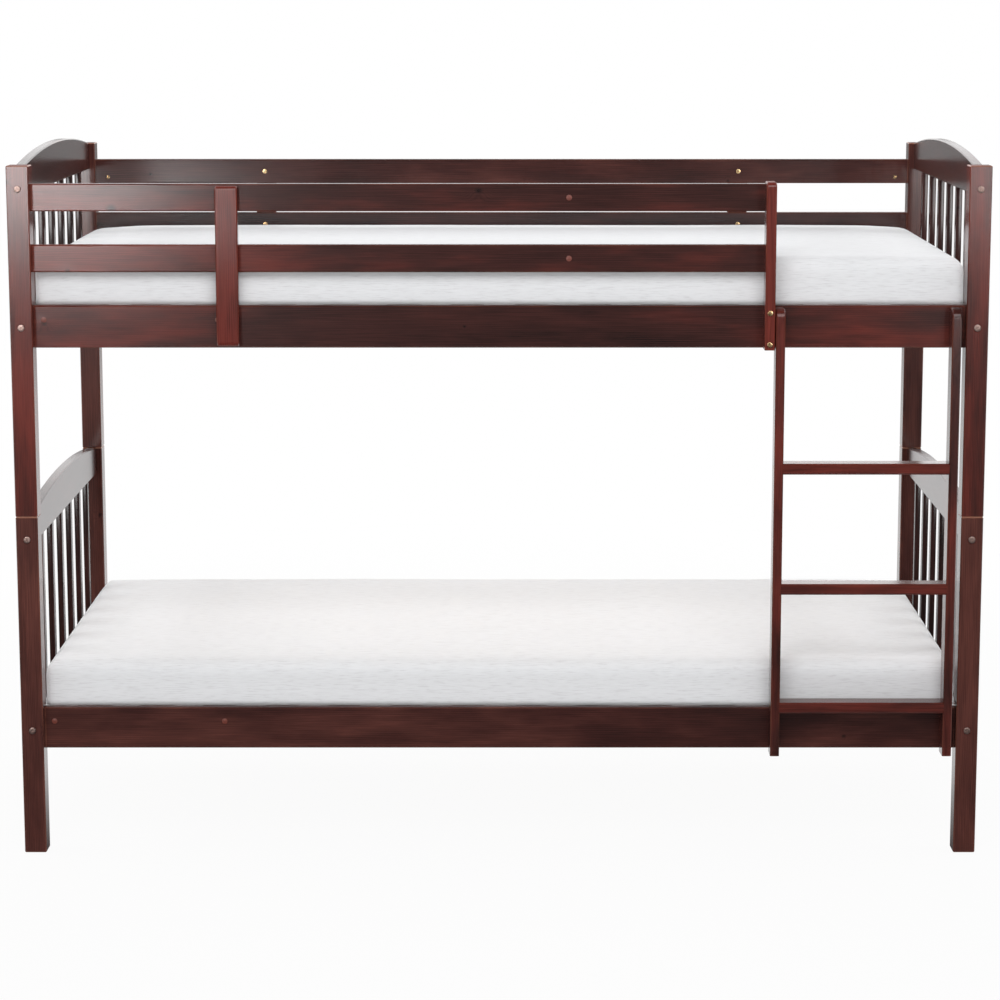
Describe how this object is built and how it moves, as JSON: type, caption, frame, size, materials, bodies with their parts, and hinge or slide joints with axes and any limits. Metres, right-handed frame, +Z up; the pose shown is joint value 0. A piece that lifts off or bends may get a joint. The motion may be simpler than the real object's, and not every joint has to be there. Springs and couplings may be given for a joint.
{
  "type": "bunk bed",
  "caption": "Stained timber bunk bed with arched spindle end panels, slatted bases with mattresses, guard boards round the top berth and a fixed ladder at the front.",
  "frame": {"origin": "on the floor, under the middle of the whole bed's length and depth", "axes": "+X along the bed's length, to the right as seen from the ladder side; -Y is the ladder side; +Z up"},
  "size_m": [2.111, 1.0284, 1.547],
  "materials": {
    "stained_pine": "pine stained mahogany brown under satin lacquer",
    "bare_pine": "planed, bare",
    "beech": "fluted dowel stock, bare",
    "bronzed_steel": "antique bronze plating",
    "brass": "brass plating",
    "zinced_steel": "zinc plating",
    "plug_plastic": "moulded",
    "webbing": "woven tape",
    "mattress_knit": "knitted cover over foam"
  },
  "bodies": {
    "lower_bunk": {"lower_front_left_post": "stained_pine", "lower_front_right_post": "stained_pine", "lower_front_rail": "stained_pine", "lower_front_cleat": "stained_pine", "lower_back_left_post": "stained_pine", "lower_back_right_post": "stained_pine", "lower_back_rail": "stained_pine", "lower_back_cleat": "stained_pine", "lower_left_arch": "stained_pine", "lower_left_end_rail": "stained_pine", "lower_left_spindles": "stained_pine", "lower_right_arch": "stained_pine", "lower_right_end_rail": "stained_pine", "lower_right_spindles": "stained_pine", "lower_slats": "bare_pine", "lower_slat_tapes": "webbing", "lower_frame_bolts": "bronzed_steel", "lower_barrel_nuts": "brass", "lower_rail_dowels": "beech", "lower_cover_plugs": "plug_plastic", "lower_cleat_screws": "zinced_steel", "stacking_pins": "zinced_steel"},
    "upper_bunk": {"upper_front_left_post": "stained_pine", "upper_front_right_post": "stained_pine", "upper_front_rail": "stained_pine", "upper_front_cleat": "stained_pine", "upper_back_left_post": "stained_pine", "upper_back_right_post": "stained_pine", "upper_back_rail": "stained_pine", "upper_back_cleat": "stained_pine", "upper_left_arch": "stained_pine", "upper_left_end_rail": "stained_pine", "upper_left_spindles": "stained_pine", "upper_right_arch": "stained_pine", "upper_right_end_rail": "stained_pine", "upper_right_spindles": "stained_pine", "upper_slats": "bare_pine", "upper_slat_tapes": "webbing", "upper_frame_bolts": "bronzed_steel", "upper_barrel_nuts": "brass", "upper_rail_dowels": "beech", "upper_cover_plugs": "plug_plastic", "upper_cleat_screws": "zinced_steel", "front_guard_lower_board": "stained_pine", "front_guard_upper_board": "stained_pine", "back_guard_lower_board": "stained_pine", "back_guard_upper_board": "stained_pine", "front_guard_upright": "stained_pine", "back_guard_left_upright": "stained_pine", "back_guard_right_upright": "stained_pine", "ladder_end_upright": "stained_pine", "ladder_left_side": "stained_pine", "ladder_right_side": "stained_pine", "ladder_step_1": "stained_pine", "ladder_step_2": "stained_pine", "ladder_step_3": "stained_pine", "guard_bolts": "brass", "ladder_bolts": "brass"},
    "lower_mattress": {"lower_mattress": "mattress_knit"},
    "upper_mattress": {"upper_mattress": "mattress_knit"}
  },
  "joints": [
    {"name": "upper_bunk_lift", "type": "slide", "parent": "lower_bunk", "child": "upper_bunk", "axis": [0, 0, 1], "range_m": [0, 0.12]},
    {"name": "lower_mattress_lift", "type": "slide", "parent": "lower_bunk", "child": "lower_mattress", "axis": [0, 0, 1], "range_m": [0, 0.35]},
    {"name": "upper_mattress_lift", "type": "slide", "parent": "upper_bunk", "child": "upper_mattress", "axis": [0, 0, 1], "range_m": [0, 0.35]}
  ]
}
